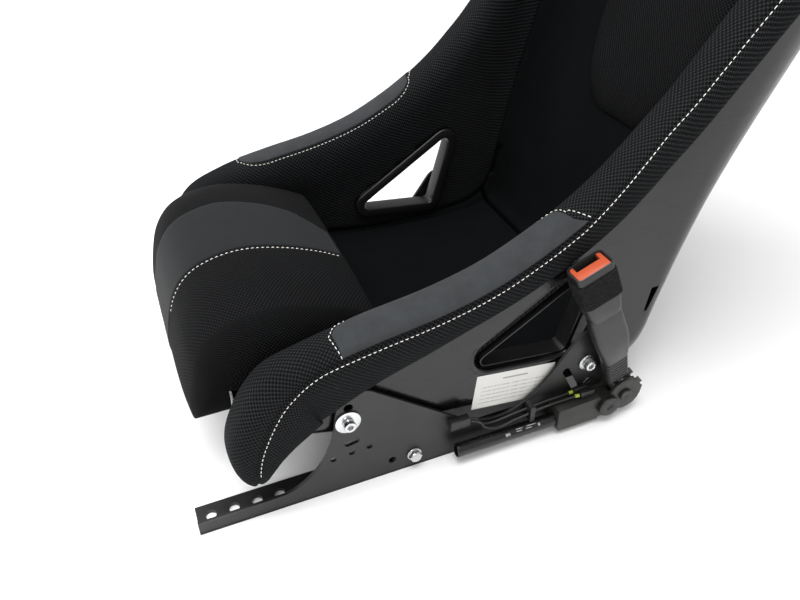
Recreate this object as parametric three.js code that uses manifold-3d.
// Fixed-back racing seat with steel side brackets and a belt buckle with its pretensioner.
// Millimetres. +Z is up, the sitter faces -Y, and +X is the sitter's left, where the buckle is.
// Everything is laid out from the rear seat bolts (y = 0) and the floor (z = 0); the last lines move the whole group
// so that its origin is the middle of its footprint.
import * as THREE from "three";
import { mergeVertices } from "three/addons/utils/BufferGeometryUtils.js";
import Module from "manifold-3d";

const wasm = await Module();
wasm.setup();

// ---------------------------------------------------------------- driving dimensions
const seatDepth = 392; // rear seat bolt to the shell's front edge
const backHeight = 900; // floor to the top of the shell
const hipHalf = 202; // half of the inside width between the hip walls
const shoulderHalf = 256; // half of the inside width between the shoulder wings
const headHalf = 138; // half of the inside width beside the head
const shellWall = 5;
const fitGap = 1; // between upholstery and shell
const seatGap = 0.4; // between two hard pieces that touch

const boltSpacing = 290; // front to rear seat bolt
const frontBoltZ = 100;
const rearBoltZ = 80;
const boltR = 4; // M8
const boltHoleR = boltR + 0.5;
const washerR = 14;
const rearWasherR = 10.5;
const washerThick = 2;
const capHeadR = 6.5;
const capHeadLong = 8;
const socketR = 3.2;
const spacerThick = 4;
const insertFlangeR = 8.5;
const insertFlangeThick = 3;

const plateThick = 4; // side bracket steel
const flangeWide = 35; // its foot, turned in under the seat
const lipHeight = 17; // the plate's height along its front tongue
const bracketFront = -459; // front end of the left bracket's tongue
const tongueShort = 34; // how much shorter the right bracket's tongue is
const bracketRear = 70;
const flangeHoleR = 5.75;
const flangeHolePitch = 25;
const flangeHoleInset = 19; // from the plate's outer face

const padThick = 20; // floor and side padding
const rollIn = 26; // how far the bolster roll stands in from the wall
const rollOut = 27; // and out past the wall's inner face
const rollUp = 11; // and above the shell's rim
const lipDown = 46; // how far the cover comes down the outside of the shell

const windowRadius = 9;
const windowTrimWall = 2;
const windowDish = 23; // width of the moulded recess round the window
const windowDishDeep = 13;

const stalkLean = 21.8; // degrees, forwards of upright
const pulleyY = 44;
const pulleyZ = 33;
const buckleOut = 32; // from the bracket's outer face to the buckle's middle
const buckleWide = 42;
const buckleThick = 26;
const buckleLong = 73;
const buckleTop = 228; // from the pulley's centre to the buckle's top
const buckleWall = 2;
const tubeR = 8;
const tubeWall = 1.6;
const tubeFront = -172;
const tubeOut = 14; // and to the tube's middle
const tubeZ = 18;
const wireR = 1.5;

// ---------------------------------------------------------------- solids
function solid(geometry) {
  const bare = new THREE.BufferGeometry().setAttribute("position", geometry.getAttribute("position"));
  if (geometry.index) bare.setIndex(geometry.index);
  const merged = mergeVertices(bare, 1e-4);
  const triVerts = new Uint32Array(merged.index.array);
  const vertProperties = merged.attributes.position.array;
  const make = () => new wasm.Manifold(new wasm.Mesh({ numProp: 3, vertProperties, triVerts }));
  const made = make();
  if (made.volume() > 0) return made;
  for (let i = 0; i < triVerts.length; i += 3) {
    [triVerts[i + 1], triVerts[i + 2]] = [triVerts[i + 2], triVerts[i + 1]];
  }
  return make();
}

const cut = (from, ...tools) => tools.reduce((left, tool) => left.subtract(tool), from);
const biggest = (from) => from.decompose().sort((a, b) => b.volume() - a.volume())[0];
const join = (...pieces) => pieces.reduce((all, piece) => all.add(piece));

// A closed solid through a row of rings with the same number of points; each end is closed by a fan round its middle.
function loft(rings) {
  const n = rings[0].length;
  const points = rings.flat();
  const index = [];
  for (let i = 0; i < rings.length - 1; i++) {
    for (let j = 0; j < n; j++) {
      const a = i * n + j;
      const b = i * n + ((j + 1) % n);
      index.push(a, b, b + n, a, b + n, a + n);
    }
  }
  for (const [row, flip] of [[0, true], [rings.length - 1, false]]) {
    const middle = rings[row].reduce((sum, p) => sum.clone().add(p), new THREE.Vector3()).divideScalar(n);
    const hub = points.push(middle) - 1;
    for (let j = 0; j < n; j++) {
      const a = row * n + j;
      const b = row * n + ((j + 1) % n);
      index.push(...(flip ? [b, a, hub] : [a, b, hub]));
    }
  }
  return solid(new THREE.BufferGeometry().setFromPoints(points).setIndex(index));
}

// A closed sheet between two grids of points, lower[row][column] and upper[row][column].
function slab(lower, upper) {
  const rows = lower.length;
  const columns = lower[0].length;
  const points = [...lower.flat(), ...upper.flat()];
  const at = (face, i, j) => face * rows * columns + i * columns + j;
  const index = [];
  const quad = (a, b, c, d) => index.push(a, b, c, a, c, d);
  for (let i = 0; i < rows - 1; i++) {
    for (let j = 0; j < columns - 1; j++) {
      quad(at(0, i, j), at(0, i, j + 1), at(0, i + 1, j + 1), at(0, i + 1, j));
      quad(at(1, i, j), at(1, i + 1, j), at(1, i + 1, j + 1), at(1, i, j + 1));
    }
    quad(at(0, i + 1, 0), at(1, i + 1, 0), at(1, i, 0), at(0, i, 0));
    quad(at(0, i, columns - 1), at(1, i, columns - 1), at(1, i + 1, columns - 1), at(0, i + 1, columns - 1));
  }
  for (let j = 0; j < columns - 1; j++) {
    quad(at(0, 0, j), at(1, 0, j), at(1, 0, j + 1), at(0, 0, j + 1));
    quad(at(0, rows - 1, j + 1), at(1, rows - 1, j + 1), at(1, rows - 1, j), at(0, rows - 1, j));
  }
  return solid(new THREE.BufferGeometry().setFromPoints(points).setIndex(index));
}

// A shape drawn in (y, z), from x0 to x1 on one side of the seat: side is 1 for the left and -1 for the right.
const sideBasis = new THREE.Matrix4().makeBasis(
  new THREE.Vector3(0, 1, 0), new THREE.Vector3(0, 0, 1), new THREE.Vector3(1, 0, 0));

function plateYZ(shape, x0, x1, side = 1, segments = 6) {
  const g = new THREE.ExtrudeGeometry(shape, { depth: x1 - x0, bevelEnabled: false, curveSegments: segments });
  return solid(g.applyMatrix4(sideBasis).translate(x0, 0, 0).scale(side, 1, 1));
}

function box(x0, x1, y0, y1, z0, z1) {
  return solid(new THREE.BoxGeometry(x1 - x0, y1 - y0, z1 - z0)
    .translate((x0 + x1) / 2, (y0 + y1) / 2, (z0 + z1) / 2));
}

// A round bar along X from x0 to x1, centred on (y, z).
function barX(r, x0, x1, y, z, side = 1, segments = 14) {
  return solid(new THREE.CylinderGeometry(r, r, x1 - x0, segments).rotateZ(Math.PI / 2)
    .translate((x0 + x1) / 2, y, z).scale(side, 1, 1));
}

function barY(r0, r1, y0, y1, x, z, segments = 20) {
  return solid(new THREE.CylinderGeometry(r1, r0, y1 - y0, segments).translate(0, (y0 + y1) / 2, 0)
    .translate(x, 0, z));
}

function barZ(r, z0, z1, x, y, segments = 10) {
  return solid(new THREE.CylinderGeometry(r, r, z1 - z0, segments).rotateX(Math.PI / 2)
    .translate(x, y, (z0 + z1) / 2));
}

// A polygon with its sides moved out by grow and its corners rounded, as a ring of [a, b] pairs.
function roundedRing(corners, radius, grow = 0, steps = 3) {
  const n = corners.length;
  const ring = [];
  for (let i = 0; i < n; i++) {
    const [before, here, after] = [corners[(i + n - 1) % n], corners[i], corners[(i + 1) % n]]
      .map(([a, b]) => new THREE.Vector2(a, b));
    const inward = before.clone().sub(here).normalize();
    const onward = after.clone().sub(here).normalize();
    const half = inward.angleTo(onward) / 2;
    const bisector = inward.clone().add(onward).normalize();
    const r = radius + grow;
    const centre = here.clone().addScaledVector(bisector, radius / Math.sin(half));
    const start = Math.atan2(-bisector.y, -bisector.x) - (Math.PI / 2 - half);
    for (let k = 0; k <= steps; k++) {
      const angle = start + ((Math.PI - 2 * half) * k) / steps;
      ring.push([centre.x + r * Math.cos(angle), centre.y + r * Math.sin(angle)]);
    }
  }
  return ring;
}

const ringShape = (ring) => new THREE.Shape(ring.map(([a, b]) => new THREE.Vector2(a, b)));

function slotPath(y, z, long, wide, angle = 0) {
  const path = new THREE.Path();
  const along = new THREE.Vector2(Math.cos(angle), Math.sin(angle)).multiplyScalar((long - wide) / 2);
  path.absarc(y + along.x, z + along.y, wide / 2, angle - Math.PI / 2, angle + Math.PI / 2);
  path.absarc(y - along.x, z - along.y, wide / 2, angle + Math.PI / 2, angle + (3 * Math.PI) / 2);
  return path.closePath();
}

const holePath = (y, z, r) => new THREE.Path().absarc(y, z, r, 0, 2 * Math.PI);

// ---------------------------------------------------------------- the group
const group = new THREE.Group();
const finishes = {
  gelcoat: { color: 0x0c0c0d, roughness: 0.25, metalness: 0 },
  mesh: { color: 0x17181a, roughness: 0.9, metalness: 0 },
  knit: { color: 0x0f1011, roughness: 0.95, metalness: 0 },
  trim: { color: 0x101011, roughness: 0.4, metalness: 0 },
  powder: { color: 0x2a2a28, roughness: 0.55, metalness: 0.1 },
  zinc: { color: 0xc9ccd0, roughness: 0.3, metalness: 1 },
  blackSteel: { color: 0x1a1a1a, roughness: 0.4, metalness: 0.6 },
  casting: { color: 0x33332f, roughness: 0.5, metalness: 0.5 },
  plastic: { color: 0x1d1d1c, roughness: 0.5, metalness: 0 },
  buttonRed: { color: 0xd2532a, roughness: 0.4, metalness: 0 },
  felt: { color: 0x131313, roughness: 1, metalness: 0 },
  cable: { color: 0x9a9c9e, roughness: 0.4, metalness: 1 },
  wire: { color: 0x121212, roughness: 0.5, metalness: 0 },
};

const weld = 0.02; // edges shorter than this, left by the cuts, are closed up
function weldedMesh(shape) {
  const raw = shape.asOriginal().simplify(weld).getMesh();
  const points = new Float32Array(raw.numVert * 3);
  for (let i = 0; i < raw.numVert; i++) {
    points.set(raw.vertProperties.subarray(i * raw.numProp, i * raw.numProp + 3), i * 3);
  }
  const merged = mergeVertices(new THREE.BufferGeometry()
    .setAttribute("position", new THREE.BufferAttribute(points, 3))
    .setIndex(new THREE.BufferAttribute(raw.triVerts, 1)), 1e-3);
  const corners = merged.index.array;
  const kept = [];
  for (let i = 0; i < corners.length; i += 3) {
    const [a, b, c] = corners.subarray(i, i + 3);
    if (a !== b && b !== c && c !== a) kept.push(a, b, c);
  }
  const welded = new wasm.Mesh({ numProp: 3, vertProperties: merged.attributes.position.array, triVerts: new Uint32Array(kept) });
  return new wasm.Manifold(welded).simplify(weld).getMesh();
}

function add(name, shape, finish) {
  const mesh = weldedMesh(shape);
  const g = new THREE.BufferGeometry();
  const positions = new Float32Array(mesh.numVert * 3);
  for (let i = 0; i < mesh.numVert; i++) {
    positions.set(mesh.vertProperties.subarray(i * mesh.numProp, i * mesh.numProp + 3), i * 3);
  }
  g.setAttribute("position", new THREE.BufferAttribute(positions, 3));
  g.setIndex(new THREE.BufferAttribute(mesh.triVerts, 1));
  g.computeVertexNormals();
  const made = new THREE.Mesh(g, new THREE.MeshStandardMaterial(finishes[finish]));
  made.name = name;
  group.add(made);
  return made;
}

const sideNames = [["left", 1], ["right", -1]];

// ---------------------------------------------------------------- the seat's form
// A station is one cross-section of the tub: its floor's middle and its rim in side view, as shares of the depth in
// front of the bolts (depth) and of the height (height) or in millimetres behind the bolts, then its half widths at
// floor and rim, the radius where floor turns into wall, and how far the middle is dished away from the sitter.
const d = seatDepth / 392;
const h = backHeight / 900;
const hip = hipHalf;
const chest = (hipHalf + shoulderHalf) / 2;
const stations = [
  [-392 * d, 106, -376 * d, 140, hip - 3, hip - 2, 14, 0],
  [-362 * d, 96, -353 * d, 171, hip, hip, 16, 0],
  [-318 * d, 81, -312 * d, 192, hip, hip, 16, 0],
  [-262 * d, 67, -256 * d, 203, hip, hip, 18, 0],
  [-196 * d, 56, -192 * d, 213, hip, hip, 22, 0],
  [-126 * d, 48, -134 * d, 228, hip, hip, 22, 0],
  [-56 * d, 44, -84 * d, 250, hip, hip, 24, 0],
  [4, 44, -42 * d, 274, hip, hip, 26, 0],
  [56, 49, -6, 300, hip, hip, 30, 0],
  [84, 63, 24, 328, hip, hip, 40, 2],
  [100, 99, 49, 354, hip, hip, 56, 5],
  [120, 152 * h, 71, 380 * h, hip, hip + 2, 70, 8],
  [146, 218 * h, 92, 412 * h, hip, hip + 6, 76, 8],
  [176, 284 * h, 114, 452 * h, hip, hip + 14, 78, 8],
  [210, 360 * h, 138, 502 * h, hip + 2, chest, 76, 8],
  [242, 436 * h, 162, 556 * h, chest - 23, shoulderHalf - 12, 72, 8],
  [270, 516 * h, 185, 612 * h, chest - 19, shoulderHalf, 66, 8],
  [292, 594 * h, 209, 660 * h, chest - 25, shoulderHalf - 4, 58, 8],
  [308, 662 * h, 238, 700 * h, headHalf + 36, shoulderHalf - 36, 44, 8],
  [318, 720 * h, 268, 738 * h, headHalf + 12, headHalf + 30, 32, 8],
  [324, 784 * h, 280, 792 * h, headHalf, headHalf + 12, 28, 8],
  [328, 846 * h, 290, 850 * h, headHalf - 12, headHalf - 2, 26, 8],
  [331, backHeight - 5, 307, backHeight, headHalf - 38, headHalf - 28, 20, 6],
].map(([floorY, floorZ, rimY, rimZ, floorHalf, rimHalf, corner, dish]) => ({
  floor: new THREE.Vector2(floorY, floorZ),
  rim: new THREE.Vector2(rimY, rimZ),
  floorHalf,
  rimHalf,
  corner,
  dish,
}));
const floorShare = 0.5; // of the half-section: flat floor up to here
const cornerShare = 0.6; // then the corner up to here, then the wall

// A station between two of the list's, by straight interpolation.
function stationAt(s) {
  const i = Math.min(Math.floor(s), stations.length - 2);
  const [a, b] = [stations[i], stations[i + 1]];
  const t = s - i;
  const mix = (key) => a[key] + (b[key] - a[key]) * t;
  return {
    floor: a.floor.clone().lerp(b.floor, t),
    rim: a.rim.clone().lerp(b.rim, t),
    floorHalf: mix("floorHalf"),
    rimHalf: mix("rimHalf"),
    corner: mix("corner"),
    dish: mix("dish"),
  };
}

// The half-section at share v, as (x, up), up being the distance from the floor line towards the rim.
function sectionPoint(station, v) {
  const tall = station.floor.distanceTo(station.rim);
  const corner = Math.min(station.corner, tall * 0.7);
  const flat = station.floorHalf - corner;
  const wallX = station.floorHalf + ((station.rimHalf - station.floorHalf) * corner) / tall;
  if (v <= floorShare) {
    const x = (flat * v) / floorShare;
    return new THREE.Vector2(x, -station.dish * (1 - (x / flat) ** 2));
  }
  if (v <= cornerShare) {
    const t = (v - floorShare) / (cornerShare - floorShare);
    return new THREE.Vector2(
      flat * (1 - t) ** 2 + 2 * station.floorHalf * t * (1 - t) + wallX * t * t,
      corner * t * t);
  }
  const t = (v - cornerShare) / (1 - cornerShare);
  return new THREE.Vector2(wallX + (station.rimHalf - wallX) * t, corner + (tall - corner) * t);
}

// The section's point in space: x across, up along the line from floor to rim.
function place(station, x, up) {
  const way = station.rim.clone().sub(station.floor).normalize();
  return new THREE.Vector3(x, station.floor.x + way.x * up, station.floor.y + way.y * up);
}

// The tub's inner surface at station s and share v (negative v is the right-hand half), moved off it towards the sitter.
function tubPoint(s, v, off = 0) {
  const station = stationAt(s);
  const side = v < 0 ? -1 : 1;
  const w = Math.abs(v);
  const step = 0.004;
  const a = sectionPoint(station, Math.max(0, w - step));
  const b = sectionPoint(station, Math.min(1, w + step));
  const p = sectionPoint(station, w);
  const along = b.sub(a).normalize();
  const normal = w < step ? new THREE.Vector2(0, 1) : new THREE.Vector2(-along.y, along.x);
  p.addScaledVector(normal, off);
  return place(station, side * p.x, p.y);
}

const halfShares = [0, 0.18, 0.36, 0.5, 0.533, 0.566, 0.6, 0.73, 0.86, 1];
const fullShares = [...halfShares.slice(1).reverse().map((v) => -v), ...halfShares];
const lastStation = stations.length - 1;
const stationList = Array.from({ length: lastStation + 1 }, (_, i) => i);

const tubGrid = (rows, shares, off) => rows.map((s) => shares.map((v) => tubPoint(s, v, off)));

// ---------------------------------------------------------------- holes shared by shell, padding and trims
const hipWindow = [[-149, 106], [-21, 91], [14, 208]]; // (y, z), before its corners are rounded
const windowRing = (grow, steps) => roundedRing(hipWindow, windowRadius, grow, steps);
const windowPrism = (grow, x0, x1, side) => plateYZ(ringShape(windowRing(grow)), x0, x1, side);
const outerFace = hipHalf + shellWall;
const dishFloor = outerFace - windowDishDeep;
const plateOuter = outerFace + spacerThick + plateThick; // the bracket's outer face
const plateInner = plateOuter - plateThick;
const buckleX = plateOuter + buckleOut;
const tubeX = plateOuter + tubeOut;
const dishFoot = 5; // the recess's floor, this wide round the opening

// A hopper that narrows from one outline of the hip window to a smaller one.
function windowHopper(growOut, xOut, growIn, xIn, side) {
  const ringAt = (grow, x) => windowRing(grow).map(([y, z]) => new THREE.Vector3(side * x, y, z));
  return loft([ringAt(growOut, xOut), ringAt(growIn, xIn)]);
}

const strapSlot = { low: 664, high: 706, inner: 62, outer: 132, radius: 8 }; // shoulder strap slots, (x, z)
function strapPrism(grow, y0, y1, side) {
  const { low, high, inner, outer, radius } = strapSlot;
  const corners = [[inner, low * h], [outer, low * h], [outer - 14, high * h], [inner, high * h]];
  const ring = roundedRing(corners, radius, grow, 3);
  return loft([y0, y1].map((y) => ring.map(([x, z]) => new THREE.Vector3(side * x, y, z))));
}

const crotchY = -268; // middle of the strap slot in the floor, under the thigh cushion
const crotchWide = 70;
const crotchLong = 18;
function crotchPrism(grow, z0, z1) {
  const [w, l] = [crotchWide / 2, crotchLong / 2];
  const ring = roundedRing([[-w, crotchY - l], [w, crotchY - l], [w, crotchY + l], [-w, crotchY + l]], 5, grow, 3);
  return loft([z0, z1].map((z) => ring.map(([x, y]) => new THREE.Vector3(x, y, z))));
}

const cornerSlot = { y: 78, low: 124, high: 156, top: 10, bottom: 4, slope: 0.25 }; // the slit low in each rear corner
function cornerSlit(side, grow = 0) {
  const { y, low, high, top, bottom, slope } = cornerSlot;
  const lean = slope * (high - low);
  const shape = ringShape([[y - bottom / 2 - grow, low - grow], [y + bottom / 2 + grow, low - grow],
    [y + lean + top / 2 + grow, high + grow], [y + lean - top / 2 - grow, high + grow]]);
  return plateYZ(shape, hipHalf - 60, hipHalf + 60, side);
}

const lowerBolt = { y: -219, z: 19 }; // the hex bolt low on each bracket
const seatBolts = [
  { name: "front", y: -boltSpacing, z: frontBoltZ, washer: washerR },
  { name: "rear", y: 0, z: rearBoltZ, washer: rearWasherR },
];

// ---------------------------------------------------------------- shell
function makeShell() {
  let shell = slab(tubGrid(stationList, fullShares, -shellWall), tubGrid(stationList, fullShares, 0));
  for (const [, side] of sideNames) {
    const outerDish = windowHopper(windowDish, outerFace, dishFoot, dishFloor, side);
    const innerDish = windowHopper(windowDish - 3.2, outerFace + 0.01, dishFoot - 3.2, dishFloor + 3.5, side);
    shell = cut(shell, windowPrism(windowDish - 1, hipHalf - 12, outerFace + 2, side));
    shell = join(shell, cut(outerDish, innerDish));
    shell = cut(shell, windowPrism(0, dishFloor - 8, outerFace + 4, side), strapPrism(0, 200, 340, side),
      cornerSlit(side), ...seatBolts.map((b) => barX(boltR + seatGap + 2.6, hipHalf - 3, outerFace + 3, b.y, b.z, side)));
  }
  return cut(shell, crotchPrism(0, 50, 100));
}
const shell = makeShell();
add("seat_shell", shell, "gelcoat");

// What the upholstery keeps clear of: the tub, a little thicker and taller than it is.
function tubKeepOut() {
  const grow = (off) => stationList.map((s) => fullShares.map((v) => {
    const p = tubPoint(s, v, off);
    if (Math.abs(v) === 1) {
      const { floor, rim } = stationAt(s);
      const way = rim.clone().sub(floor).normalize();
      p.y += way.x * fitGap;
      p.z += way.y * fitGap;
    }
    return p;
  }));
  const [under, over] = [grow(-shellWall - fitGap), grow(fitGap)];
  for (const sheet of [under, over]) sheet[0].forEach((p) => (p.y -= fitGap));
  return slab(under, over);
}
const keepOut = tubKeepOut();

// ---------------------------------------------------------------- pads that lie on the tub
// A lining that lies on the tub between two stations and reaches a little way up its walls.
const liningShares = [0, 0.2, 0.4, 0.5, 0.533, 0.566, 0.6, 0.62];
function lining(from, to, thick, taper, extra = [], lift = padLift) {
  const rows = [from, ...stationList.filter((s) => s > from + 0.2 && s < to - 0.2), to];
  const half = [...liningShares, ...extra];
  const shares = [...half.slice(1).reverse().map((v) => -v), ...half];
  // In the corner the padding is thinner than the corner's radius, or its top would fold over itself.
  const thickness = (s, v) => {
    const end = Math.min(s - from, to - s) < 0.01 ? taper : 1;
    const most = Math.abs(v) > floorShare + 0.01 ? 0.8 * stationAt(s).corner + thick - padThick : thick;
    return Math.min(thick, most) * end * (Math.abs(v) > 0.61 ? taper : 1);
  };
  const face = (top) => rows.map((s) => shares.map((v) => tubPoint(s, v, lift + (top ? thickness(s, v) : 0))));
  return slab(face(false), face(true));
}
const padLift = fitGap + 0.5;
const liningKeepOut = lining(0.4, 16.9, padThick + padLift + fitGap, 1, [0.66], 0);

// A pad with round corners: its half width narrows towards both ends.
function roundedPad(from, to, reach, thick, lift) {
  const count = 8;
  const rows = Array.from({ length: count + 1 }, (_, i) => {
    const t = 0.5 - 0.5 * Math.cos((Math.PI * i) / count);
    const k = Math.abs(2 * t - 1);
    return { s: from + (to - from) * t, half: reach * (0.3 + 0.7 * (1 - k ** 2.4) ** 0.5), rise: (1 - k ** 6) ** 0.5 };
  });
  const across = [-1, -0.94, -0.8, -0.4, 0, 0.4, 0.8, 0.94, 1];
  const face = (top) => rows.map(({ s, half, rise }) => across.map((u) => tubPoint(s, u * half,
    lift + (top ? Math.max(3, thick * (0.3 + 0.7 * rise) * (0.3 + 0.7 * (1 - u ** 8) ** 0.5)) : 0))));
  return slab(face(false), face(true));
}

// ---------------------------------------------------------------- side bolsters
// One section of the roll, walked from its inner foot over the ridge to the hem on the shell's outside, and back up
// inside the wall. side is 1 or -1; drop lowers the hem and foot where the roll hangs over the front edge.
function bolsterRing(s, side, drop = 0, swell = 1) {
  const station = stationAt(s);
  const tall = station.floor.distanceTo(station.rim);
  const foot = Math.min(station.corner + 3, tall * 0.72);
  const wall = (up) => station.floorHalf + ((station.rimHalf - station.floorHalf) * up) / tall;
  const at = (out, up) => place(station, side * (wall(Math.min(up, tall)) + out), up);
  const hem = tall - lipDown - drop;
  return [
    at(-padThick + 2, foot),
    at(-padThick * swell, foot + (tall - foot) * 0.4),
    at(-rollIn * swell, tall - 36),
    at(-rollIn * swell + 2, tall - 8),
    at(-14, tall + rollUp * 0.7),
    at(4, tall + rollUp),
    at(19, tall + rollUp * 0.65),
    at(rollOut, tall - 2),
    at(rollOut + 1, tall - 26),
    at(rollOut - 7, hem + 10),
    at(shellWall + 3, hem),
    at(shellWall / 2, hem),
    at(shellWall / 2, foot),
  ];
}

// The window's recess, as the padding must clear it: the same slope, moved out by the fitting gap.
function dishKeepOut(side) {
  const slope = (windowDish - dishFoot) / windowDishDeep;
  const foot = dishFoot + 2 * fitGap;
  return windowHopper(foot + slope * (windowDishDeep + 8), outerFace + 8 - fitGap, foot, dishFloor - fitGap, side);
}

// Where the roll stands, from a little below its foot, for the lining to stop short of.
function bolsterFootKeepOut(side) {
  return loft([0, ...stationList.filter((s) => s < 18).flatMap((s) => [s + 0.25, s + 0.75])].map((s) => {
    const station = stationAt(s);
    const tall = station.floor.distanceTo(station.rim);
    const foot = Math.min(station.corner + 3, tall * 0.72) - 2.5 * fitGap;
    const wall = (up) => station.floorHalf + ((station.rimHalf - station.floorHalf) * up) / tall;
    return [[-60, foot], [-60, tall], [20, tall], [20, foot]].map(([out, up]) => place(station, side * (wall(up) + out), up));
  }));
}

// The nose's sections: their middle (y, z), the way across them (y, z), half thickness, and inner and outer x.
const noseStations = [
  [-390, 52, -1, 0.0, 5, hip - 12, hip + 14],
  [-390, 58, -1, 0.02, 13, hip - 22, hip + 23],
  [-389, 70, -0.99, 0.1, 22, hip - 32, hip + 27],
  [-384, 88, -0.95, 0.3, 31, hip - 35, hip + 28],
  [-373, 108, -0.86, 0.5, 38, hip - 34, hip + 28],
  [-354, 132, -0.7, 0.71, 45, hip - 32, hip + 28],
  [-336, 148, -0.5, 0.87, 46, hip - 30, hip + 28],
];
const noseAngles = [-135, 180, 152, 126, 102, 78, 54, 30, 4, -26, -52, -78, -106];

function makeBolster(side) {
  const shoulderEnd = 17.4;
  const rows = [...stationList.filter((s) => s >= 2 && s < shoulderEnd), shoulderEnd];
  // The nose carries the roll over the front of the wall and hangs in front of and below the floor's edge.
  const nose = noseStations.map(([y, z, nx, nz, thick, inner, outer]) => noseAngles.map((degrees) => {
    const a = THREE.MathUtils.degToRad(degrees);
    const square = (q) => Math.sign(q) * Math.abs(q) ** 0.75;
    const across = (inner + outer) / 2 + ((outer - inner) / 2) * square(Math.cos(a));
    const along = thick * square(Math.sin(a));
    return new THREE.Vector3(side * across, (y + nx * along) * d, z + nz * along);
  }));
  const body = loft([...nose, ...rows.map((s) => bolsterRing(s, side, Math.max(0, 5.2 - s) ** 1.5 * 6))]);
  const cuts = [
    keepOut,
    liningKeepOut,
    plateYZ(bracketShape(0, 1.2), plateInner - fitGap, plateOuter + fitGap, side),
    dishKeepOut(side),
    windowPrism(seatGap, dishFloor - 60, outerFace + 30, side),
    windowPrism(12, dishFloor - 70, hipHalf - padThick - 1, side),
    cornerSlit(side, 6),
    ...seatBolts.map((b) => barX(insertFlangeR + fitGap, hipHalf - 8, outerFace + 60, b.y, b.z, side, 10)),
  ];
  return biggest(cut(body, ...cuts));
}
for (const [name, side] of sideNames) add(`bolster_${name}`, makeBolster(side), "mesh");

// ---------------------------------------------------------------- floor, lumbar, back, head and thigh padding
const sofaSplit = 8.6; // station where the floor pad meets the back pad
function makeLining(from, to) {
  return cut(lining(from, to, padThick, 0.7), ...sideNames.flatMap(([, side]) => [cornerSlit(side, 6), bolsterFootKeepOut(side),
    ...seatBolts.map((b) => barX(insertFlangeR + fitGap, hipHalf - 8, outerFace, b.y, b.z, side))]));
}
add("floor_pad", makeLining(0.6, sofaSplit), "knit");
add("back_pad", makeLining(sofaSplit + 0.12, 16.6), "knit");
const cushionLift = padLift + padThick + fitGap;
add("lumbar_cushion", roundedPad(12.5, 16.4, 0.42, 24, cushionLift), "mesh");
add("head_cushion", roundedPad(18.9, 21.6, 0.36, 34, padLift), "mesh");

// The thigh cushion: one outline in side view, drawn across the seat and lower towards its sides.
const cushionHalf = hipHalf - 44;
const cushionTop = 228;
const cushionOutline = [
  [-232, -40], [-262, -24], [-300, -9], [-340, 0], [-374, -2], [-404, -14], [-424, -38], [-435, -70],
  [-441, -102], [-438, -120], [-426, -130], [-404, -130],
];
function makeThighCushion() {
  const seatLine = (y) => 56 + (106 - 56) * ((-196 - y) / 196) + padThick + 6;
  const across = [-1, -0.86, -0.6, -0.3, 0, 0.3, 0.6, 0.86, 1];
  const top = across.map((u) => {
    const fall = 26 * Math.abs(u) ** 4;
    const inset = 8 * Math.abs(u) ** 6;
    return cushionOutline.map(([y, below]) => new THREE.Vector3(
      u * cushionHalf, (y + inset) * d, Math.max(cushionTop + below - fall, 98)));
  });
  const rest = [[-396, 16], [-340, 4], [-285, 0], [-236, 0]];
  const rings = top.map((outline, i) => [
    ...outline,
    ...rest.map(([y, up]) => new THREE.Vector3(across[i] * cushionHalf, y * d, seatLine(y) + up)),
  ]);
  return rings;
}
const bolsterKeepOut = sideNames.map(([, side]) => {
  const inset = hipHalf - rollIn - 14;
  return side > 0 ? box(inset, inset + 200, -480, -200, 40, 300) : box(-inset - 200, -inset, -480, -200, 40, 300);
});
add("thigh_cushion", cut(loft(makeThighCushion()), liningKeepOut, keepOut, ...bolsterKeepOut), "mesh");

// ---------------------------------------------------------------- hip window and strap slot trims
for (const [name, side] of sideNames) {
  const face = hipHalf - padThick - 1 - seatGap;
  const flange = windowPrism(11, face - 4, face, side);
  const sleeve = windowPrism(-seatGap, face - 4, dishFloor + 6, side);
  const bore = windowPrism(-seatGap - windowTrimWall, face - 20, outerFace + 10, side);
  add(`hip_window_trim_${name}`, cut(join(flange, sleeve), bore), "trim");
}
for (const [name, side] of sideNames) {
  const flange = strapPrism(8, 262, 266, side);
  const sleeve = strapPrism(-seatGap, 262, 292, side);
  add(`strap_slot_trim_${name}`, cut(join(flange, sleeve), strapPrism(-seatGap - 3, 240, 320, side), keepOutAtSlot(side)), "trim");
}

// The shell's own skin round a strap slot, grown by the fitting gap, so that the trim's flange lies against it.
function keepOutAtSlot(side) {
  const x0 = strapSlot.inner - 20;
  const x1 = strapSlot.outer + 24;
  const region = box(Math.min(side * x0, side * x1), Math.max(side * x0, side * x1), 230, 330, 630 * h, 740 * h);
  return cut(keepOut.intersect(region), strapPrism(0, 200, 340, side));
}

// ---------------------------------------------------------------- side brackets

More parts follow.
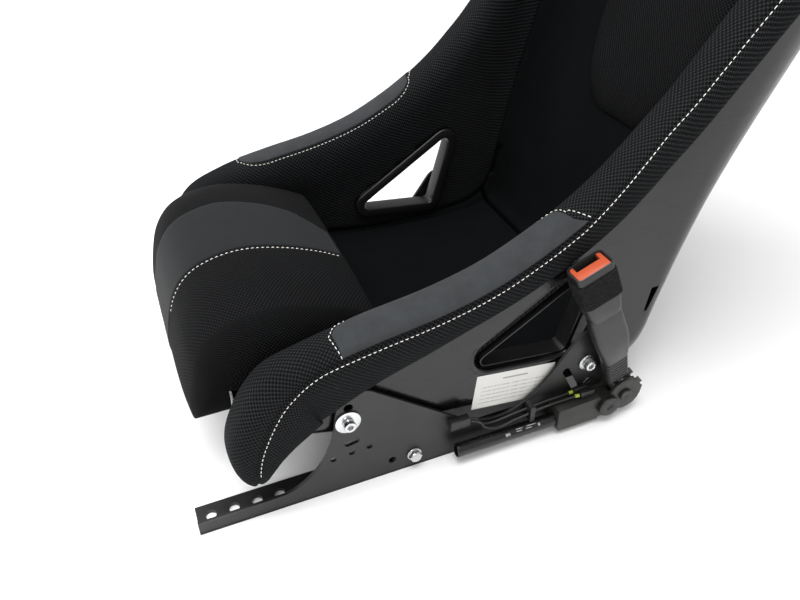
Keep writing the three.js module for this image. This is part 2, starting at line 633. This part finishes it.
function bracketShape(short = 0, grow = 0) {
  const outline = new THREE.Shape();
  outline.moveTo(bracketFront + short - grow, 0);
  outline.lineTo(bracketFront + short - grow, lipHeight + grow);
  outline.lineTo(-366, lipHeight + 2 + grow);
  outline.bezierCurveTo(-338, lipHeight + 6 + grow, -307 - grow, 56, -303 - grow, 108);
  outline.quadraticCurveTo(-300 - grow, 134 + grow, -278, 135 + grow);
  outline.quadraticCurveTo(-268, 136 + grow, -262, 132 + grow);
  outline.lineTo(-172, 61 + grow);
  outline.bezierCurveTo(-130, 26 + grow, -88, 26 + grow, -50, 72 + grow);
  outline.lineTo(-14, 120 + grow);
  outline.quadraticCurveTo(-2, 134 + grow, 10, 118 + grow);
  outline.lineTo(bracketRear - 22, 66 + grow);
  outline.quadraticCurveTo(bracketRear, 40, bracketRear, 20);
  outline.lineTo(bracketRear, 0);
  outline.closePath();
  if (grow) return outline;
  outline.holes.push(
    ...seatBolts.map((b) => holePath(b.y, b.z, boltHoleR)),
    holePath(-boltSpacing + 2, 118, 5), slotPath(-boltSpacing + 3, 68, 17, 9, 0.2), holePath(-boltSpacing + 2, 52, 3.5),
    holePath(-268, 53, 3.5), holePath(-309, 50, 3.5), holePath(-243, 20, 4.5),
    holePath(lowerBolt.y, lowerBolt.z, boltHoleR),
    slotPath(-18, 58, 44, 9, -1.1), slotPath(5, 47, 12, 6, 0.7), holePath(33, 50, 7), holePath(pulleyY, pulleyZ - 12, boltHoleR),
  );
  return outline;
}
const flangeHoleYs = [
  ...[0, 1, 2, 3].map((k) => bracketFront + 15 + k * flangeHolePitch),
  ...[0, 1, 2, 3].map((k) => bracketRear - 15 - k * flangeHolePitch),
];
function makeBracket(side) {
  const short = side > 0 ? 0 : tongueShort;
  const plate = plateYZ(bracketShape(short), plateInner, plateOuter, side, 5);
  const foot = solid(new THREE.BoxGeometry(flangeWide, bracketRear - bracketFront - short, plateThick)
    .translate(side * (plateOuter - flangeWide / 2), (bracketRear + bracketFront + short) / 2, plateThick / 2));
  const holes = flangeHoleYs.filter((y) => y > bracketFront + short + 10).map((y) => barZ(flangeHoleR, -5, 10, side * (plateOuter - flangeHoleInset), y));
  return cut(join(plate, foot), ...holes);
}
for (const [name, side] of sideNames) add(`side_bracket_${name}`, makeBracket(side), "powder");

// ---------------------------------------------------------------- seat bolts, washers, spacers and inserts
for (const [name, side] of sideNames) {
  for (const b of seatBolts) {
    const washerFace = plateOuter + seatGap;
    const headFace = washerFace + washerThick + seatGap;
    add(`washer_${b.name}_${name}`, cut(barX(b.washer, washerFace, washerFace + washerThick, b.y, b.z, side, 18),
      barX(boltHoleR, washerFace - 3, washerFace + 5, b.y, b.z, side, 10)), "zinc");
    add(`seat_bolt_${b.name}_${name}`, cut(
      join(barX(boltR, hipHalf - 6, headFace + 1, b.y, b.z, side, 10), barX(capHeadR, headFace, headFace + capHeadLong, b.y, b.z, side, 14)),
      barX(socketR, headFace + capHeadLong - 4, headFace + capHeadLong + 2, b.y, b.z, side, 6)), "zinc");
    add(`spacer_${b.name}_${name}`, cut(barX(10, outerFace + seatGap, plateInner - seatGap, b.y, b.z, side, 14),
      barX(boltHoleR, outerFace - 3, plateInner + 3, b.y, b.z, side, 10)), "zinc");
    add(`insert_${b.name}_${name}`, cut(
      join(barX(insertFlangeR, hipHalf - insertFlangeThick - seatGap, hipHalf - seatGap, b.y, b.z, side, 14),
        barX(boltR + 2.6, hipHalf - insertFlangeThick - seatGap, outerFace - seatGap, b.y, b.z, side, 10)),
      barX(boltR + 0.3, hipHalf - 20, outerFace + 10, b.y, b.z, side, 10)), "zinc");
  }
  // A short hex bolt low on each bracket, with its nut on the inside: the car's own slide bolts on here.
  const headFace = plateOuter + seatGap;
  const nutFace = plateInner - seatGap;
  add(`rail_bolt_${name}`, join(
    barX(8.5, headFace, headFace + 1.6, lowerBolt.y, lowerBolt.z, side, 14),
    barX(7.5, headFace + 1.5, headFace + 7, lowerBolt.y, lowerBolt.z, side, 6),
    barX(boltR, nutFace - 10, headFace + 1, lowerBolt.y, lowerBolt.z, side, 10)), "zinc");
  add(`rail_nut_${name}`, cut(barX(7.5, nutFace - 6.5, nutFace, lowerBolt.y, lowerBolt.z, side, 6),
    barX(boltR + 0.3, nutFace - 20, nutFace + 2, lowerBolt.y, lowerBolt.z, side, 10)), "zinc");
}

// ---------------------------------------------------------------- pretensioner, outside the left bracket
const bodyInner = plateOuter + seatGap;
const bodyOuter = bodyInner + 24;
const bodyRear = 10;
const bodyFront = -46;
add("pretensioner_tube", cut(
  join(barY(tubeR, tubeR, tubeFront + 6, -64, tubeX, tubeZ, 18), barY(tubeR + 3, tubeR, tubeFront, tubeFront + 7, tubeX, tubeZ, 18),
    barY(tubeR, 11, -65, bodyFront - seatGap, tubeX, tubeZ + 1, 18)),
  barY(tubeR - tubeWall, tubeR - tubeWall, tubeFront - 1, bodyFront + 2, tubeX, tubeZ, 14)), "blackSteel");
add("piston", barY(tubeR - tubeWall - seatGap, tubeR - tubeWall - seatGap, -110, -84, tubeX, tubeZ, 14), "zinc");

function makePretensionerBody() {
  const outline = ringShape(roundedRing([[bodyFront, 7], [bodyRear, 7], [bodyRear, 41], [bodyFront, 38]], 3, 0, 2));
  const block = plateYZ(outline, bodyInner, bodyOuter, 1);
  const hub = barX(22, bodyInner, bodyOuter, pulleyY, pulleyZ, 1, 18);
  const web = box(bodyInner, bodyOuter, bodyRear - 4, pulleyY - 8, 10, 38);
  const claws = [[-52, 13], [-8, 13], [36, 13]].map(([degrees, r]) => {
    const a = THREE.MathUtils.degToRad(degrees);
    return solid(new THREE.BoxGeometry(bodyOuter - bodyInner - 6, 9, 12).rotateX(a)
      .translate((bodyInner + bodyOuter) / 2, pulleyY + (r + 8) * Math.cos(a), pulleyZ + (r + 8) * Math.sin(a)));
  });
  return cut(join(block, hub, web, ...claws),
    barX(15, bodyInner + 4, bodyOuter - 4, pulleyY, pulleyZ, 1, 16), // room for the pulley
    box(bodyInner + 4, bodyOuter - 4, pulleyY - 30, pulleyY + 30, pulleyZ + 2, 90), // the mouth that the stalk leaves by
    barY(3, 3, bodyFront - 5, pulleyY, tubeX, tubeZ + 2, 12),
    barX(boltHoleR, bodyInner - 5, bodyOuter + 5, pulleyY, pulleyZ, 1, 10));
}
add("pretensioner_body", makePretensionerBody(), "casting");
add("pulley", cut(barX(13, bodyInner + 5, bodyOuter - 5, pulleyY, pulleyZ, 1, 16),
  barX(boltHoleR, bodyInner, bodyOuter, pulleyY, pulleyZ, 1, 10)), "zinc");
add("pulley_pin", join(barX(boltR, bodyInner + 0.5, bodyOuter + 1, pulleyY, pulleyZ, 1, 10),
  barX(8, bodyOuter + seatGap, bodyOuter + 4, pulleyY, pulleyZ, 1, 16)), "zinc");
add("anchor_cap", cut(barX(13.5, bodyOuter + seatGap, bodyOuter + 6, 20, 26, 1, 18), barX(8.8, bodyOuter - 1, bodyOuter + 5, pulleyY, pulleyZ, 1, 16),
  barX(4, bodyOuter + 4.5, bodyOuter + 8, 20, 26, 1, 6)), "plastic");

// The two igniter plugs on the body's top edge, and their wires along the tube to a plug clipped to the bracket.
const plugY = -9;
const wirePlugs = [0, 1].map((k) => ({ x: bodyInner + 7 + k * 8, y: plugY + 4 * k }));
wirePlugs.forEach(({ x, y }, k) => add(`igniter_plug_${k + 1}`,
  box(x - 3, x + 3, y - 9, y + 9, 41 + seatGap, 50), "plastic"));
const connectorBlock = { x0: plateOuter + seatGap, x1: plateOuter + 10, y0: -176, y1: -152.2, z0: 46, z1: 58 };
add("wire_connector", box(connectorBlock.x0, connectorBlock.x1, connectorBlock.y0, connectorBlock.y1,
  connectorBlock.z0, connectorBlock.z1), "plastic");
const wireRoutes = [
  [[plateOuter + 7.4, -18.4, 46], [plateOuter + 8, -34, 46], [plateOuter + 7, -60, 44], [plateOuter + 5, -95, 38], [plateOuter + 4, -122, 34], [plateOuter + 3, -138, 38], [plateOuter + 3, -142, 47], [plateOuter + 3.4, -151.2, 52]],
  [[plateOuter + 15.4, -14.4, 46], [plateOuter + 14, -32, 44.5], [plateOuter + 12, -60, 41], [plateOuter + 10.5, -95, 34], [plateOuter + 11, -118, 30.5], [plateOuter + 10, -134, 37], [plateOuter + 9, -140, 46], [plateOuter + 7.6, -151.2, 52]],
];
function tubeAlong(points, r, sides, steps) {
  const path = new THREE.CatmullRomCurve3(points.map((p) => new THREE.Vector3(...p)));
  const section = new THREE.Shape(Array.from({ length: sides }, (_, k) => new THREE.Vector2(
    r * Math.cos((2 * Math.PI * k) / sides), r * Math.sin((2 * Math.PI * k) / sides))));
  return solid(new THREE.ExtrudeGeometry(section, { steps, extrudePath: path, bevelEnabled: false }));
}
wireRoutes.forEach((route, k) => add(`igniter_wire_${k + 1}`, tubeAlong(route, wireR, 6, 18), "wire"));
add("wire_clip", cut(box(plateOuter + seatGap, plateOuter + 16, -79, -73, 27, 49),
  ...wireRoutes.map((route) => tubeAlong(route, wireR + 0.7, 6, 18)),
  barY(tubeR + seatGap, tubeR + seatGap, -90, -60, tubeX, tubeZ, 18)), "plastic");

// ---------------------------------------------------------------- buckle on its stalk
// The stalk's own frame: X across, its long axis W from the pulley's centre to the buckle, and V along the buckle's width.
const lean = THREE.MathUtils.degToRad(stalkLean);
const stalkFrame = new THREE.Matrix4().makeRotationX(lean).setPosition(0, pulleyY, pulleyZ);
const inStalk = (geometry) => solid(geometry.applyMatrix4(stalkFrame));

// A ring round the stalk's axis at height w: half sizes along X and V, with rounded corners.
function stalkRing(w, halfX, halfV, radius, x = buckleX, steps = 3) {
  const corners = [[-halfX, -halfV], [halfX, -halfV], [halfX, halfV], [-halfX, halfV]];
  return roundedRing(corners, radius, 0, steps).map(([a, b]) => new THREE.Vector3(x + a, b, w).applyMatrix4(stalkFrame));
}

const stalkX = (bodyInner + bodyOuter) / 2;
const buckleBase = buckleTop - buckleLong;
const sleeveTop = buckleBase + 8;
function makeBoot() {
  const outer = [[74, 9, 15.2, 6], [120, 9.5, 20, 7], [sleeveTop, 9.5, 18.5, 7]];
  const inner = [[20, 5, 6.5, 3], [80, 5, 7, 3], [140, 6, 14, 4], [sleeveTop + 8, 6, 14, 4]];
  const x = (w) => stalkX + (buckleX - stalkX) * Math.min(1, Math.max(0, (w - 27) / 73));
  const ribs = Array.from({ length: 7 }, (_, k) => 27 + k * 6.6).flatMap((w) => [
    [w, 8.6, 14.4, 5], [w + 3.4, 8.6, 14.4, 5], [w + 3.5, 7.2, 12.8, 4.4], [w + 6.5, 7.2, 12.8, 4.4]]);
  return cut(loft([...ribs, ...outer].map(([w, a, b, r]) => stalkRing(w, a, b, r, x(w), 2))),
    loft(inner.map(([w, a, b, r]) => stalkRing(w, a, b, r, x(w), 2))));
}
add("stalk_boot", makeBoot(), "plastic");

const mouthInset = 5; // how far the tongue's slot stands in from the buckle's inner face
function makeBuckleCover() {
  const [a, b] = [buckleThick / 2, buckleWide / 2];
  const skin = loft([[buckleBase, a - 3, b - 4, 6], [buckleBase + 12, a - 1, b - 1, 7], [buckleTop - 40, a, b, 6],
    [buckleTop, a, b, 5]].map(([w, p, q, r]) => stalkRing(w, p, q, r)));
  const hollow = loft([[buckleBase + 3, a - 6, b - 7, 3], [buckleBase + 14, a - buckleWall - 1, b - buckleWall - 1, 4],
    [buckleTop + 2, a - buckleWall, b - buckleWall, 3]].map(([w, p, q, r]) => stalkRing(w, p, q, r)));
  const throat = loft([stalkRing(buckleBase - 5, 10.2, 19.6, 7.4), stalkRing(sleeveTop + 0.6, 10.2, 19.6, 7.4)]);
  return cut(skin, hollow, throat);
}
add("buckle_cover", makeBuckleCover(), "plastic");
add("felt_band", cut(
  loft([stalkRing(buckleTop - 44, buckleThick / 2 + 1.8, buckleWide / 2 + 1.8, 7), stalkRing(buckleTop - 9, buckleThick / 2 + 1.8, buckleWide / 2 + 1.8, 7)]),
  loft([stalkRing(buckleTop - 46, buckleThick / 2 + 0.4, buckleWide / 2 + 0.4, 6.4), stalkRing(buckleTop - 7, buckleThick / 2 + 0.4, buckleWide / 2 + 0.4, 5.4)])), "felt");

// Inside the cover: the steel frame, the latch, the ejector and the button, all in the stalk's frame.
const stalkBox = (x0, x1, v0, v1, w0, w1) => inStalk(new THREE.BoxGeometry(x1 - x0, v1 - v0, w1 - w0)
  .translate((x0 + x1) / 2, (v0 + v1) / 2, (w0 + w1) / 2));
const frameFace = buckleX - buckleThick / 2 + 5.6; // the frame's outer face, which the tongue slides along
const frameWall = 2.2;
const latchPivotW = buckleTop - 46;
add("buckle_frame", cut(
  join(stalkBox(frameFace - frameWall, frameFace, -12.6, 12.6, latchPivotW - 11, buckleTop - 12),
    stalkBox(frameFace - frameWall, frameFace + 9, -15.2, -13, latchPivotW - 6, buckleTop - 22),
    stalkBox(frameFace - frameWall, frameFace + 9, 13, 15.2, latchPivotW - 6, buckleTop - 22),
    stalkBox(frameFace - frameWall, frameFace, -15.2, 15.2, latchPivotW - 6, buckleTop - 22),
    stalkBox(frameFace - 0.5, frameFace + 8, -5, 5, latchPivotW - 11, latchPivotW - 7),
    stalkBox(frameFace + 1.5, frameFace + 8, -5, 5, sleeveTop + 2, latchPivotW - 7)),
  stalkBox(frameFace - 5, frameFace + 2, -5, 5, buckleTop - 30, buckleTop - 24)), "blackSteel");
add("latch", join(stalkBox(frameFace + 5.4, frameFace + 7.4, -12, 12, latchPivotW, buckleTop - 23),
  stalkBox(frameFace + 2.6, frameFace + 5.6, -4.2, 4.2, buckleTop - 29, buckleTop - 25)), "zinc");
add("ejector", stalkBox(frameFace + 0.5, frameFace + 3, -7, 7, buckleTop - 44, buckleTop - 34), "plastic");
const buttonThick = 13;
const buttonX1 = buckleX + buckleThick / 2 - buckleWall - seatGap;
const buttonX0 = buckleX - buckleThick / 2 + buckleWall + seatGap;
const buttonHalfV = buckleWide / 2 - buckleWall - 2 * seatGap;
add("release_button", cut(
  loft([buckleTop - 15, buckleTop - 1.5].map((w) => stalkRing(w, (buttonX1 - buttonX0) / 2, buttonHalfV, 3, (buttonX0 + buttonX1) / 2))),
  stalkBox(buttonX0 - 1, buttonX1 - buttonThick, -13.4, 13.4, buckleTop - 30, buckleTop + 5),
  stalkBox(buttonX0 - 1, buttonX1 - buttonThick, -30, 30, buckleTop - 30, buckleTop - 9),
  stalkBox(buttonX1 - buttonThick - 1, buttonX1 - 2, -15.6, 15.6, buckleTop - 17, buckleTop - 5)), "buttonRed");

// The steel cable in two lengths: from the piston round to the pulley, and from the pulley up to the frame.
add("cable_lower", barY(2.4, 2.4, -84 + seatGap, pulleyY - 20, tubeX, tubeZ + 2, 10), "cable");
const stalkPoint = (x, w) => new THREE.Vector3(x, 0, w).applyMatrix4(stalkFrame).toArray();
add("cable_upper", tubeAlong([stalkPoint(stalkX, 16), stalkPoint(stalkX, 30), stalkPoint(stalkX + 9.4, 60), stalkPoint(stalkX + 14, 80),
  stalkPoint(buckleX - 1.5, 112), stalkPoint(buckleX - 3, sleeveTop + 1.4)], 2.2, 8, 12), "cable");

// ---------------------------------------------------------------- origin: the middle of the footprint, on the floor
const extent = new THREE.Box3().setFromObject(group);
group.position.set(0, -(extent.min.y + extent.max.y) / 2, -extent.min.z);

export default group;
